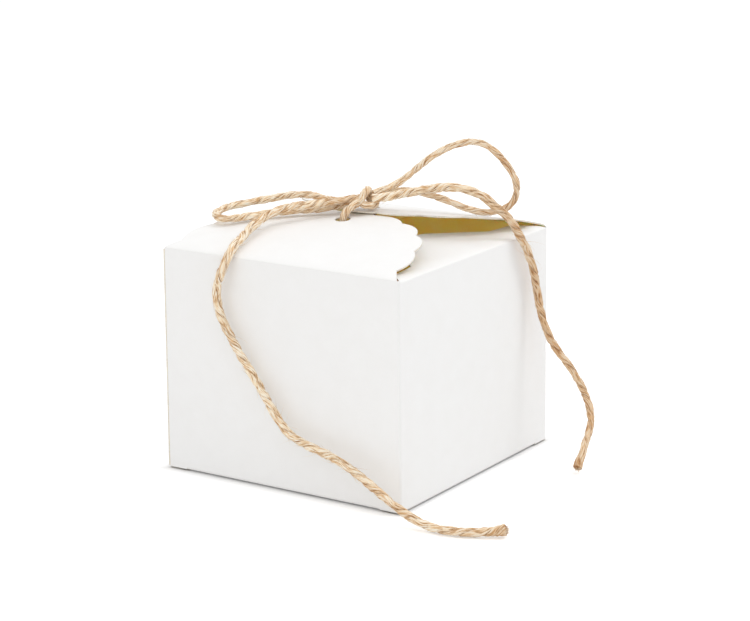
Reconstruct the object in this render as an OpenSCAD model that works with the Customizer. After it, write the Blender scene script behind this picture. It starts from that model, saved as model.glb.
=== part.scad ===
// Cookie box: a die-cut carton closed by two scalloped flaps and tied with a bow of jute twine.
// Millimetres. Origin at the middle of the base, +Z up, the front wall on the -Y side.

/* [Carton] */
// Width over the left and right walls
box_w = 90; // [84:1:110]
// Depth over the front and rear walls
box_d = 90; // [84:1:110]
// Height of the walls, from the base to the creases of the closing flaps
box_h = 74; // [50:1:110]
// Thickness of the board
board = 0.5; // [0.4:0.05:0.6]
// Outer radius of a folded edge
fold_r = 0.8; // [0.7:0.05:1.2]
// Clearance between the root of a flap and the rounded crease it turns on
crease_gap = 0.1; // [0.05:0.05:0.3]
// Width of the glue tab inside the front-left corner
tab_w = 14; // [8:1:20]
// Slant at each end of the glue tab
tab_slant = 3; // [1:0.5:6]
// Distance of the glue tab from the base and from the top crease
tab_margin = 3; // [2.5:0.5:8]

/* [Closing flaps] */
// Angle at which the front flap rises from its crease
front_tilt = 9.7; // [8:0.1:12]
// Extra angle of the rear flap, whose tip lies on the front flap's tip
lap_tilt = 1.2; // [1.2:0.1:2]
// Height of a flap's bow over a straight line from its crease to the middle of the box
flap_bow = 1.4; // [1:0.1:2]
// Reach of each tip past the middle of the box
tip_lap = 2.5; // [0:0.5:2.5]
// Length of the plain shoulder between the crease and the first scallop
shoulder = 5; // [3:0.5:8]
// Distance of the first scallop from the side of the box
shoulder_inset = 4; // [2:0.5:8]
// Number of scallops round a flap
scallop_n = 9; // [5:2:13]
// Height of a scallop over its chord
scallop_rise = 2.3; // [0.8:0.1:2.5]
// Diameter of the twine hole
hole_d = 5; // [4:0.5:7]
// Distance of the twine hole from the middle of the box
hole_from_middle = 8.4; // [7:0.1:12]

/* [Dust flaps] */
// Angle at which a dust flap rises from its crease
dust_tilt = 4.5; // [0:0.5:6]
// Reach of a dust flap into the box
dust_reach = 26; // [18:1:30]
// Distance from the end of a dust flap's crease to the front or rear of the box
dust_setback = 1; // [1:0.5:6]
// Angle of a dust flap's two sides
dust_side_angle = 37; // [32:1:45]
// Reach of a dust flap's rear shoulder
rear_shoulder = 9; // [6:0.5:10]
// Reach of a dust flap's front shoulder, which is cut lower
front_shoulder = 4.5; // [4:0.5:8]
// Length of a dust flap's shoulders
dust_shoulder_w = 12; // [8:1:14]
// Slope of a dust flap's shoulders, as their rise from end to end
dust_shoulder_rise = 1.5; // [0.5:0.5:3]
// Width of a dust flap's nose
dust_nose_w = 14; // [8:1:24]
// Radius of the corners of a dust flap's nose
dust_nose_r = 9; // [4:1:12]

/* [Snap-lock bottom] */
// Clearance at the cut edges of a bottom flap
bottom_gap = 1; // [0.5:0.1:2]
// Run of the ramp by which a bottom flap climbs onto the one below
ramp = 6; // [4:0.5:10]
// Reach of the front flap's plain part
front_reach = 40; // [34:1:42]
// Reach of the tongue past the edge of the slot
tongue_grip = 6; // [4:0.5:10]
// Width of the tongue
tongue_w = 42; // [30:1:44]
// Reach of the rear flap at the bottom of its slot
slot_reach = 38; // [32:1:40]
// Reach of the rear flap's two lobes
lobe_reach = 58; // [50:1:62]
// Reach of the side flaps
side_reach = 21; // [14:1:22]
// Taper of the bottom flaps towards their free ends
bottom_taper = 3; // [1:0.5:6]

/* [Twine] */
// Diameter of the twine
twine_d = 3; // [2:0.25:3.25]
// Middle of the knot's crossing turns, measured from its centre
knot_turn_r = 2.1; // [1.8:0.1:2.6]

/* [Hidden] */

$fn = 64;
bow_fn = 360;
tube_sides = 8;
nose_steps = 6;
cut = 1;

half_w = box_w / 2;
half_d = box_d / 2;
root_w = half_w - fold_r;
hinge_y = half_d - board / 2;
hinge_z = box_h - board / 2;
dust_hinge_x = half_w - board / 2;
dust_hinge_z = hinge_z - board - crease_gap;
dust_root = half_d - dust_setback;
bead_r = board / 2;
fold_foot = fold_r + 2 * board;
rear_tilt = front_tilt + lap_tilt;

// Twine routes: points along the middle of the cord.
knot_at = [3, 1.5, 86.4];
hole_strand = [
    [2.6, -1.2, 86.4], [1.6, -3.9, 85.3], [0.7, -6.9, 83.7], [0.1, -8.5, 80.9], [0, -7.9, 77.7],
    [0, -5.2, 74.6], [0, 0, 73], [0, 5.2, 74.6], [0, 8, 78], [0.1, 8.6, 81.6], [0.3, 7.7, 84],
    [0.9, 5.6, 85.8], [2, 4, 86.4]
];
left_loop = [
    [1, -0.9, 84.9], [-3.8, -3.6, 84.3], [-10.6, -7.8, 83.3], [-17.6, -12.6, 82.7], [-24, -18, 82],
    [-29.6, -23.2, 81.2], [-34.2, -26.6, 80.9], [-38, -25.6, 81.3], [-39.9, -21.4, 82],
    [-38.6, -15.8, 82.7], [-34.3, -10.5, 83.6], [-27.6, -6.6, 85], [-20.5, -5, 86.4],
    [-15.2, -4.2, 86.6], [-11.2, -3.3, 85.9], [-7.6, -2.2, 85.4], [-4.1, -0.2, 85.5], [1, 2.2, 86.6]
];
right_loop = [
    [4.6, 2.6, 88.2], [10.5, 8, 91.2], [15.5, 12, 96], [20.7, 16, 100.7], [26.2, 20, 103.5],
    [31, 23.6, 103.9], [35.5, 26.8, 100.8], [39.4, 28.9, 95.6], [42.2, 29.4, 89.6],
    [41.8, 27.6, 84.6], [37.6, 24, 81.7], [31.8, 20.8, 81.9], [25.2, 16.4, 84.9], [15.6, 12.6, 87.8],
    [8.4, 9.2, 88.3], [3.2, 6, 87.4]
];
left_tail = [
    [1.8, -0.2, 86.8], [-4.3, -6.2, 86], [-8.4, -11.4, 85.7], [-13.6, -17, 85.3], [-17.2, -23.4, 84],
    [-18.6, -29.4, 82.1], [-18.6, -35.2, 79.9], [-17.8, -41, 78], [-17.2, -45.9, 75.7],
    [-17.9, -48.8, 71.2], [-20, -49.2, 65.4], [-19.9, -49.1, 58], [-16.4, -48.9, 50.4],
    [-11, -48.8, 42.6], [-5, -48.9, 34.8], [1, -49.3, 27], [7, -49.7, 21.2], [15.4, -50.3, 18.6],
    [25.4, -50.8, 16.2], [34.4, -51.3, 12.6], [42.8, -51.8, 8.1], [51.4, -52.3, 4.1], [59.8, -52.7, 1.8],
    [68, -52.1, 1.6], [75.5, -49, 1.6], [82.5, -44.6, 1.6]
];
right_tail = [
    [5, 1.4, 86.6], [13, 4, 88.2], [20.5, 6.5, 90], [27.5, 9, 91.3], [33, 11.5, 90.9],
    [37.6, 14.5, 88.8], [41.5, 18, 84.6], [44.6, 21, 80.4], [46.9, 23, 75.4], [47.7, 27.2, 69],
    [48.1, 30.8, 61], [48.8, 32.1, 53], [50.6, 32.6, 45], [54, 34, 37], [59.4, 36.4, 28.6],
    [64.6, 36.6, 20.4], [68.4, 33, 14.2], [70.4, 26.6, 9.6], [71.5, 18.3, 1.8]
];

// Points round a rounded corner at b, on the way from a to c, with radius r.
function corner(a, b, c, r) =
    let (u = (a - b) / norm(a - b), v = (c - b) / norm(c - b))
    let (half = acos(u * v) / 2, mid = (u + v) / norm(u + v))
    let (centre = b + mid * r / sin(half), from = b + u * r / tan(half) - centre)
    let (turn = (180 - 2 * half) * sign(u[0] * v[1] - u[1] * v[0]) * -1)
    [for (i = [0 : nose_steps])
        let (t = turn * i / nose_steps)
        centre + [from[0] * cos(t) - from[1] * sin(t), from[0] * sin(t) + from[1] * cos(t)]];

// Walls

// A wall lying along X with its outer face on y = 0 and its inner face towards +Y.
// Its top is a rounded crease, bead_half long to each side of the middle.
module wall(x0, x1, foot, top, bead_half) {
    translate([x0, 0, foot]) cube([x1 - x0, board, top - foot]);
    translate([0, board / 2, top]) rotate([0, 90, 0])
        cylinder(r = bead_r, h = 2 * bead_half, center = true);
}

// An upright folded corner between two walls, turned by a.
module upright_fold(x, y, a) {
    translate([x, y, fold_foot]) rotate([0, 0, a]) rotate_extrude(angle = 90)
        translate([fold_r - board, 0]) square([board, dust_hinge_z - fold_foot]);
}

module front_wall() color("white") {
    seam_x = -half_w + board + fold_r;
    translate([0, -half_d, 0]) wall(seam_x, half_w - fold_r, fold_r, hinge_z, half_w - board - fold_r);
    upright_fold(half_w - fold_r, -half_d + fold_r, -90);
    upright_fold(seam_x, -half_d + fold_r, 180);
}

module rear_wall() color("white") {
    rotate([0, 0, 180]) translate([0, -half_d, 0]) wall(-root_w, root_w, fold_r, hinge_z, root_w);
    upright_fold(-half_w + fold_r, half_d - fold_r, 90);
}

module right_wall() color("white") {
    end = half_d - fold_r;
    rotate([0, 0, 90]) translate([0, -half_w, 0]) wall(-end, end, fold_r, dust_hinge_z, dust_root);
    upright_fold(half_w - fold_r, half_d - fold_r, 0);
}

// The left wall runs to the front face, where its cut edge shows beside the glued seam.
module left_wall() color("white") {
    end = half_d - fold_r;
    rotate([0, 0, -90]) translate([0, -half_w, 0]) wall(-end, half_d, fold_r, dust_hinge_z, dust_root);
}

module glue_tab() color("white") {
    y0 = -half_d + fold_r;
    low = tab_margin;
    high = dust_hinge_z - tab_margin;
    translate([-half_w + board, 0, 0]) rotate([90, 0, 90]) linear_extrude(board)
        polygon([[y0, low], [y0 + tab_w, low + tab_slant], [y0 + tab_w, high - tab_slant], [y0, high]]);
}

// Closing flaps, drawn from the crease along X, reaching towards +Y

function cusp(i, reach) =
    let (a = 180 * i / scallop_n)
    [(half_w - shoulder_inset) * cos(a), shoulder + (reach - shoulder - scallop_rise) * sin(a)];

// The circle whose arc is the scallop between the cusps p and q.
module scallop(p, q) {
    chord = norm(q - p);
    r = (chord * chord / 4 + scallop_rise * scallop_rise) / (2 * scallop_rise);
    outward = [q[1] - p[1], p[0] - q[0]] / chord;
    translate((p + q) / 2 + outward * (scallop_rise - r)) circle(r, $fn = 96);
}

// The circles cross at the cusps. The middle of the sheet, drawn in from the cusps, fills them up.
module scalloped_outline(reach) {
    heart = [0, shoulder];
    draw_in = 0.9;
    root = [root_w, 0];
    side = cusp(0, reach) + (cusp(0, reach) - root) * (1 - draw_in);
    middle = [for (i = [1 : scallop_n - 1]) heart + (cusp(i, reach) - heart) * draw_in];
    polygon(concat([root, side], middle, [[-side[0], side[1]], [-root_w, 0]]));
    intersection() {
        union() for (i = [0 : scallop_n - 1]) scallop(cusp(i, reach), cusp(i + 1, reach));
        translate([-half_w, shoulder / 2]) square([box_w, box_d]);
    }
}

// A bowed sheet with a scalloped edge, a twine hole and a hollow root that turns on the crease.
module closing_flap(tilt) {
    chord = hinge_y / cos(tilt);
    reach = (hinge_y + tip_lap) / cos(tilt);
    bow_r = (chord * chord / 4 + flap_bow * flap_bow) / (2 * flap_bow);
    deep = flap_bow + board + cut;
    translate([0, -hinge_y, hinge_z]) rotate([tilt, 0, 0]) difference() {
        intersection() {
            translate([0, chord / 2, flap_bow - bow_r]) rotate([0, 90, 0]) difference() {
                cylinder(r = bow_r + board / 2, h = box_w, center = true, $fn = bow_fn);
                cylinder(r = bow_r - board / 2, h = box_w + cut, center = true, $fn = bow_fn);
            }
            translate([0, 0, -deep]) linear_extrude(2 * deep) scalloped_outline(reach);
        }
        rotate([0, 90, 0]) cylinder(r = bead_r + crease_gap, h = box_w + cut, center = true);
        translate([0, (hinge_y - hole_from_middle) / cos(tilt), -deep]) cylinder(d = hole_d, h = 2 * deep);
    }
}

module front_flap() color("white") closing_flap(front_tilt);
module rear_flap() color("white") rotate([0, 0, 180]) closing_flap(rear_tilt);

// Dust flaps

// One side of a dust flap's outline: the end of the crease, and both ends of the shoulder.
function dust_side(reach) =
    let (end = dust_root - reach * tan(dust_side_angle))
    [[dust_root, 0], [end, reach], [end - dust_shoulder_w, reach + dust_shoulder_rise]];

// Drawn for the right wall, with +X leading to the rear.
module dust_flap() {
    rear = dust_side(rear_shoulder);
    front = [for (p = dust_side(front_shoulder)) [-p[0], p[1]]];
    rear_nose = [dust_nose_w / 2, dust_reach];
    front_nose = [-dust_nose_w / 2, dust_reach];
    outline = concat(
        rear, corner(rear[2], rear_nose, front_nose, dust_nose_r),
        corner(rear_nose, front_nose, front[2], dust_nose_r), [front[2], front[1], front[0]]);
    translate([0, -dust_hinge_x, dust_hinge_z]) rotate([dust_tilt, 0, 0]) difference() {
        translate([0, 0, -board / 2]) linear_extrude(board) polygon(outline);
        rotate([0, 90, 0]) cylinder(r = bead_r + crease_gap, h = box_d + cut, center = true);
    }
}

module right_dust_flap() color("white") rotate([0, 0, 90]) dust_flap();
module left_dust_flap() color("white") mirror([1, 0, 0]) rotate([0, 0, 90]) dust_flap();

// Snap-lock bottom, drawn with the wall's outer face on y = 0 and the flap reaching towards +Y

// Section of a bottom flap: its fold under the wall, the ramp, and the flat part on its own layer.
module bottom_section(layer, reach) {
    z = layer * board;
    intersection() {
        translate([fold_r, fold_r]) difference() {
            circle(fold_r);
            circle(fold_r - board);
        }
        square(fold_r);
    }
    polygon([[fold_r, 0], [fold_r + ramp, z], [reach, z], [reach, z + board], [fold_r + ramp, z + board],
        [fold_r, board]]);
}

// The die-cut outline is the child.
module bottom_flap(layer, reach, width) {
    intersection() {
        rotate([90, 0, 90]) linear_extrude(width, center = true) bottom_section(layer, reach);
        translate([0, 0, -cut]) linear_extrude(box_h) children();
    }
}

module bottom_front_flap() color("white") {
    half = half_w - fold_r - ramp - bottom_gap;
    tip = box_d - slot_reach + tongue_grip;
    seat = box_d - slot_reach - bottom_gap;
    top = 3 * board;
    translate([0, -half_d, 0]) {
        bottom_flap(0, front_reach, box_w)
            polygon([[-half, 0], [half, 0], [half - bottom_taper, front_reach],
                [bottom_taper - half, front_reach]]);
        rotate([90, 0, 90]) linear_extrude(tongue_w, center = true)
            polygon([[front_reach, 0], [seat, top], [tip, top], [tip, top + board], [seat, top + board],
                [front_reach, board]]);
    }
}

module bottom_rear_flap() color("white") {
    half = half_w - fold_r - bottom_gap;
    slot = tongue_w / 2 + bottom_gap;
    end = half - bottom_taper;
    rotate([0, 0, 180]) translate([0, -half_d, 0]) bottom_flap(2, lobe_reach, box_w)
        polygon([[-half, 0], [half, 0], [end, lobe_reach], [slot + bottom_taper, lobe_reach],
            [slot, slot_reach], [-slot, slot_reach], [-slot - bottom_taper, lobe_reach],
            [-end, lobe_reach]]);
}

// A side flap stops short of the rear flap's ramp. rear_side is 1 where +X here leads to the rear wall.
module bottom_side_flap(rear_side) {
    to_front = half_d - fold_r - bottom_gap;
    to_rear = half_d - fold_r - ramp - bottom_gap;
    bottom_flap(1, side_reach, box_d) scale([rear_side, 1]) polygon([[-to_front, 0], [to_rear, 0],
        [to_rear - bottom_taper, side_reach], [bottom_taper - to_front, side_reach]]);
}

module bottom_right_flap() color("white")
    rotate([0, 0, 90]) translate([0, -half_w, 0]) bottom_side_flap(1);
module bottom_left_flap() color("white")
    rotate([0, 0, -90]) translate([0, -half_w, 0]) bottom_side_flap(-1);

// Twine

function unit(v) = v / norm(v);
function tangent(p, i) = unit(p[min(i + 1, len(p) - 1)] - p[max(i - 1, 0)]);
function flatten(n, t) = unit(n - (n * t) * t);

// A tube along the points p, its rings carried from point to point without twist.
module tube(p) {
    n_last = len(p) - 1;
    side = flatten([0, 0, 1], tangent(p, 0));
    normals = [for (i = 0, n = side; i <= n_last; i = i + 1, n = flatten(n, tangent(p, min(i, n_last)))) n];
    points = [for (i = [0 : n_last]) let (t = tangent(p, i), n = normals[i], b = cross(t, n))
        for (k = [0 : tube_sides - 1]) let (a = 360 * k / tube_sides)
            p[i] + twine_d / 2 * (cos(a) * n + sin(a) * b)];
    sides = [for (i = [0 : n_last - 1], k = [0 : tube_sides - 1])
        let (a = i * tube_sides, l = (k + 1) % tube_sides)
        each [[a + k, a + k + tube_sides, a + l + tube_sides], [a + k, a + l + tube_sides, a + l]]];
    end = n_last * tube_sides;
    caps = [for (k = [1 : tube_sides - 2]) each [[0, k, k + 1], [end, end + k + 1, end + k]]];
    polyhedron(points, concat(sides, caps));
}

module twine_hole_strand() color("burlywood") tube(hole_strand);
module twine_left_loop() color("burlywood") tube(left_loop);
module twine_right_loop() color("burlywood") tube(right_loop);
module twine_left_tail() color("burlywood") tube(left_tail);
module twine_right_tail() color("burlywood") tube(right_tail);

// The knot: two crossing turns of twine drawn tight round its core.
module twine_knot() color("burlywood") translate(knot_at) {
    sphere(r = knot_turn_r);
    for (turn = [[0, 60, 35], [75, 0, -30]])
        rotate(turn) rotate_extrude() translate([knot_turn_r, 0]) circle(d = twine_d, $fn = 32);
}

front_wall();
right_wall();
rear_wall();
left_wall();
glue_tab();
front_flap();
rear_flap();
left_dust_flap();
right_dust_flap();
bottom_front_flap();
bottom_rear_flap();
bottom_left_flap();
bottom_right_flap();
twine_hole_strand();
twine_knot();
twine_left_loop();
twine_right_loop();
twine_left_tail();
twine_right_tail();
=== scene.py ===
"""A white card cookie box tied with a bow of jute twine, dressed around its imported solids."""
import math

import bpy
import numpy as np
from mathutils import Matrix


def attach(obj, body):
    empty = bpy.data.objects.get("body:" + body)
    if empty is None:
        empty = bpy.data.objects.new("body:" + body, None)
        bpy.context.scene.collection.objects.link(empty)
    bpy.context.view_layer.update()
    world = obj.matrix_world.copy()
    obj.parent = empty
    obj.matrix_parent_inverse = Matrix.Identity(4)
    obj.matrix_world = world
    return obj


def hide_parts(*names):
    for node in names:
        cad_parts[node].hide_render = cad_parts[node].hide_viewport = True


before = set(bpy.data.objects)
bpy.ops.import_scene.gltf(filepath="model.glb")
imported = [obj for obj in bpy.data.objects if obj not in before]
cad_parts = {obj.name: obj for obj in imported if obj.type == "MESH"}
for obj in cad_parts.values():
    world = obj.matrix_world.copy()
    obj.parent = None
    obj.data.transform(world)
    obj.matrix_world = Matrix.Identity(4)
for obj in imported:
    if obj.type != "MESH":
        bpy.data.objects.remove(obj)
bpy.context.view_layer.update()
MM = 0.001

# Sizes of the carton, in millimetres
HALF_W = 45.0
HALF_D = 45.0
HEIGHT = 74.0
BOARD = 0.5
FOLD_R = 0.8
CREASE_GAP = 0.1
HINGE_Y = HALF_D - BOARD / 2
HINGE_Z = HEIGHT - BOARD / 2
DUST_HINGE_X = HALF_W - BOARD / 2
DUST_HINGE_Z = HINGE_Z - BOARD - CREASE_GAP
TAB_W = 14.0
TAB_SLANT = 3.0
TAB_MARGIN = 3.0
FRONT_TILT = 9.7
REAR_TILT = 10.9
FLAP_BOW = 1.4
TIP_LAP = 2.5
SHOULDER = 5.0
SHOULDER_INSET = 4.0
SCALLOPS = 9
SCALLOP_RISE = 2.3
HOLE_D = 5.0
HOLE_FROM_MIDDLE = 8.4
DUST_TILT = 4.5
DUST_REACH = 26.0
DUST_SETBACK = 1.0
DUST_SIDE_ANGLE = 37.0
REAR_SHOULDER = 9.0
FRONT_SHOULDER = 4.5
DUST_SHOULDER_W = 12.0
DUST_SHOULDER_RISE = 1.5
DUST_NOSE_W = 14.0
DUST_NOSE_R = 9.0
BOTTOM_GAP = 1.0
RAMP = 6.0
FRONT_REACH = 40.0
TONGUE_GRIP = 6.0
TONGUE_W = 42.0
SLOT_REACH = 38.0
LOBE_REACH = 58.0
SIDE_REACH = 21.0
BOTTOM_TAPER = 3.0

# How the folded card departs from the plain solids, in millimetres: the bulge of a wall, the soft round by
# which a flap lifts off its crease and its run, the tight crease of the bottom flaps, the height of the wall
# at that crease, of a cut lower edge and of a corner, the lean of the left wall's foot, and the distance of
# its cut end from the front face
WALL_BULGE = 0.25
FLAP_ROUND = 0.45
FLAP_ROUND_RUN = 0.8
DUST_ROUND = 0.6
DUST_ROUND_RUN = 1.2
CREASE_R = 0.3
EDGE_FOOT = 1.15
CUT_FOOT = 0.6
CORNER_FOOT = 0.3
LEFT_LEAN = 0.75
SEAM_SETBACK = 0.45
# How far under the closing flaps' creases a corner fold ends, the width of the step in a wall's foot at the
# ends of a bottom flap, that of the step in which a flap narrows to its tongue, and the tongue's cut corner
CORNER_DROP = 0.15
HEM_CUT = 0.05
TONGUE_STEP = 0.01
TONGUE_CORNER = 2.0
# How far the rubbed line of a fold fades into a wall, a top flap and a bottom flap
RUB_WALL = 0.5
RUB_FLAP = 0.6
RUB_BOTTOM = 0.8
# Faces that meet at more than this angle, in degrees, don't share their shading
SHARP_ANGLE = 50.0
# Points on each scallop, and the half step over which a flap's slope is taken
SCALLOP_POINTS = 14
SLOPE_STEP = 0.01

# Twine, in millimetres: its diameter, one turn of its two plies and of their ridges, and its least height
# over the floor
TWINE_D = 3.0
TWINE_PITCH = 12.0
RIDGE_PITCH = 15.0
LEAST_HEIGHT = 0.02
# A cut end: over what run it opens out, by what share its plies swell and draw together, over what run its
# rim is rounded off, and by what share
FLARE_RUN = 4.5
FLARE_SWELL = 0.62
FLARE_CLOSE = 0.3
RIM_RUN = 0.3
RIM_ROUND = 0.5
# Slow waves along a ply, each with its size and length: the turn of the lay in radians, the tone and the
# swell
LAY_WAVE = (0.8, 17)
TONE_WAVE = (0.15, 30)
SWELL_WAVE = (0.09, 9)
# A ply's distance from the middle, half thickness and half breadth as shares of the diameter, and its sides
PLY_SHARES = (0.16, 0.28, 0.36)
PLY_SIDES = 30
# The sets of ridges on a ply: how many, how high as a share of the ply, and how fast they wind
RIDGES = ((5, 0.05, 1.0), (8, 0.04, 1.15), (12, 0.035, 0.85))
# Stray fibres: how many to a millimetre, the share that flies away, how many stand at a cut end as a brush,
# the rings and sides of one, its thickness, how much it sways, and what is added to a strand's seed for them
FIBRES_PER_MM = 7.0
FLYAWAYS = 0.04
BRUSH_HAIRS = 70
HAIR_RINGS = 5
HAIR_SIDES = 3
HAIR_THICK = (0.03, 0.065)
HAIR_SWAY = 0.35
FIBRE_SEED = 100
# The reach of a common fibre, as the shape and scale of a gamma spread and its limit, and that of a flyaway
# and of one in the brush, in millimetres
HAIR_REACH = (2.0, 0.9)
HAIR_REACH_LIMIT = 5
FLYAWAY_REACH = (3, 7)
BRUSH_REACH = (0.25, 0.8)
# The angle at which each of them leaves the twine, in radians
HAIR_LIFT = (0.05, 0.5)
FLYAWAY_LIFT = (0.4, 1.0)
BRUSH_LIFT = (0.0, 0.5)
# How far from the middle a fibre starts: a share of the diameter, times a range on the side and on a cut end
ROOT_SHARE = 0.4
SIDE_DEPTH = (0.75, 1.0)
END_DEPTH = (0.0, 1.3)
# The spacing of the points on a route
ROUTE_SPACING = 0.25
# The knot's middle, and its strand from there: along the bow, towards its front, and up
KNOT_AT = (3, 1.5, 86.4)
KNOT_TURN = [
    (-3, 2.85, -0.55), (-1.9, 2.5, 0.6), (-1, 1.6, 2.1), (-0.1, -0.5, 2.7), (0.9, -2.3, 1.05),
    (1.5, -2.5, -1.1), (2.4, -0.8, -1.7), (1.9, 1.35, -1.8), (0.6, 2.75, -1.75), (-1.1, 2.85, -1.4),
    (-2.4, 1.6, -0.6),
]
# The routes of the stretches
HOLE_STRAND = [
    (2.6, -1.2, 86.4), (1.6, -3.9, 85.3), (0.7, -6.9, 83.7), (0.1, -8.5, 80.9), (0, -7.9, 77.7),
    (0, -5.2, 74.6), (0, 0, 73), (0, 5.2, 74.6), (0, 8, 78), (0.1, 8.6, 81.6), (0.3, 7.7, 84),
    (0.9, 5.6, 85.8), (2, 4, 86.4),
]
LEFT_LOOP = [
    (1, -0.9, 84.9), (-3.8, -3.6, 84.3), (-10.6, -7.8, 83.3), (-17.6, -12.6, 82.7), (-24, -18, 82),
    (-29.6, -23.2, 81.2), (-34.2, -26.6, 80.9), (-38, -25.6, 81.3), (-39.9, -21.4, 82),
    (-38.6, -15.8, 82.7), (-34.3, -10.5, 83.6), (-27.6, -6.6, 85), (-20.5, -5, 86.4),
    (-15.2, -4.2, 86.6), (-11.2, -3.3, 85.9), (-7.6, -2.2, 85.4), (-4.1, -0.2, 85.5), (1, 2.2, 86.6),
]
RIGHT_LOOP = [
    (4.6, 2.6, 88.2), (10.5, 8, 91.2), (15.5, 12, 96), (20.7, 16, 100.7), (26.2, 20, 103.5),
    (31, 23.6, 103.9), (35.5, 26.8, 100.8), (39.4, 28.9, 95.6), (42.2, 29.4, 89.6),
    (41.8, 27.6, 84.6), (37.6, 24, 81.7), (31.8, 20.8, 81.9), (25.2, 16.4, 84.9), (15.6, 12.6, 87.8),
    (8.4, 9.2, 88.3), (3.2, 6, 87.4),
]
LEFT_TAIL = [
    (1.8, -0.2, 86.8), (-4.3, -6.2, 86), (-8.4, -11.4, 85.7), (-13.6, -17, 85.3), (-17.2, -23.4, 84),
    (-18.6, -29.4, 82.1), (-18.6, -35.2, 79.9), (-17.8, -41, 78), (-17.2, -45.9, 75.7),
    (-17.9, -48.8, 71.2), (-20, -49.2, 65.4), (-19.9, -49.1, 58), (-16.4, -48.9, 50.4),
    (-11, -48.8, 42.6), (-5, -48.9, 34.8), (1, -49.3, 27), (7, -49.7, 21.2), (15.4, -50.3, 18.6),
    (25.4, -50.8, 16.2), (34.4, -51.3, 12.6), (42.8, -51.8, 8.1), (51.4, -52.3, 4.1), (59.8, -52.7, 1.8),
    (68, -52.1, 1.6), (75.5, -49, 1.7), (82.5, -44.6, 2.5),
]
RIGHT_TAIL = [
    (5, 1.4, 86.6), (13, 4, 88.2), (20.5, 6.5, 90), (27.5, 9, 91.3), (33, 11.5, 90.9),
    (37.6, 14.5, 88.8), (41.5, 18, 84.6), (44.6, 21, 80.4), (46.9, 23, 75.4), (47.7, 27.2, 69),
    (48.1, 30.8, 61), (48.8, 32.1, 53), (50.6, 32.6, 45), (54, 34, 37), (59.4, 36.4, 28.6),
    (64.6, 36.6, 20.4), (68.4, 33, 14.2), (70.4, 26.6, 9.6), (71.5, 18.3, 1.8),
]

# The camera: where it stands round the box, and what it looks at, in metres and degrees
VIEW_AZIMUTH = 33.79
VIEW_ELEVATION = 14.47
VIEW_ROLL = -0.69
VIEW_DISTANCE = 0.777
TARGET_RIGHT = 0.0052
TARGET_UP = 0.0474
SENSOR_MM = 36.0
FOCAL_MM = 112.3

# The light: the even room, and the lamps, each with its place, aim and size in metres, watts and colour
WORLD_LIGHT = 0.75
LAMPS = (
    ("key_light", (0.55, 0.45, 1.0), (0, 0, 0.05), 0.35, 3.0, (1, 1, 1)),
    ("top_light", (0, 0.15, 1.2), (0, 0, 0.08), 1.2, 1.7, (1, 1, 1)),
    ("front_light", (0.1, -1.15, 0.9), (0, 0, 0.04), 1.5, 4.2, (1, 0.975, 0.94)),
)
# A lamp that faces down by more than this share has its side along X
STEEP = 0.99

# The floor: its half width and level in metres, how far it is lifted to white where it is seen, and over how
# many millimetres from the carton's foot the lift sets in
FLOOR_HALF = 3.0
FLOOR_LEVEL = -0.00002
FLOOR_LIFT = 0.3
FLOOR_LIFT_RUN = 4.0


# Camera, light and floor

def placement(right, up, back, place):
    """The 4 x 4 matrix with these axes and this place as its columns."""
    return Matrix([*np.column_stack([right, up, back, place]).tolist(), [0, 0, 0, 1]])


def photo_camera():
    """The camera on a sphere round the target, its axes right, up and back turned by the roll."""
    azimuth, elevation, roll = (math.radians(a) for a in (VIEW_AZIMUTH, VIEW_ELEVATION, VIEW_ROLL))
    level = math.cos(elevation)
    back = np.array([math.sin(azimuth) * level, -math.cos(azimuth) * level, math.sin(elevation)])
    right = np.array([math.cos(azimuth), math.sin(azimuth), 0])
    up = np.cross(back, right)
    place = TARGET_RIGHT * right + TARGET_UP * up + VIEW_DISTANCE * back
    turned_right = math.cos(roll) * right + math.sin(roll) * up
    turned_up = math.cos(roll) * up - math.sin(roll) * right
    data = bpy.data.cameras.new("photo_camera")
    data.sensor_fit = "HORIZONTAL"
    data.sensor_width = SENSOR_MM
    data.lens = FOCAL_MM
    data.clip_start = 0.05
    camera = bpy.data.objects.new("photo_camera", data)
    camera.matrix_world = placement(turned_right, turned_up, back, place)
    bpy.context.scene.collection.objects.link(camera)
    bpy.context.scene.camera = camera


def softbox(name, place, aim, size, power, colour):
    """A square area lamp at place, facing aim."""
    data = bpy.data.lights.new(name, "AREA")
    data.shape = "SQUARE"
    data.size = size
    data.energy = power
    data.color = colour
    lamp = bpy.data.objects.new(name, data)
    back = np.subtract(place, aim) / np.linalg.norm(np.subtract(place, aim))
    side = np.cross((0, 0, 1), back) if abs(back[2]) < STEEP else np.array([1.0, 0, 0])
    side = side / np.linalg.norm(side)
    lamp.matrix_world = placement(side, np.cross(back, side), back, place)
    bpy.context.scene.collection.objects.link(lamp)


def seen_directly(tree):
    """1 for camera, glossy and transmitted rays, 0 for the rays that carry light to the object."""
    path = node(tree.nodes, "LightPath").outputs
    first = math_of(tree, "MAXIMUM", path["Is Camera Ray"], path["Is Glossy Ray"])
    return math_of(tree, "MAXIMUM", first, path["Is Transmission Ray"])


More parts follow.
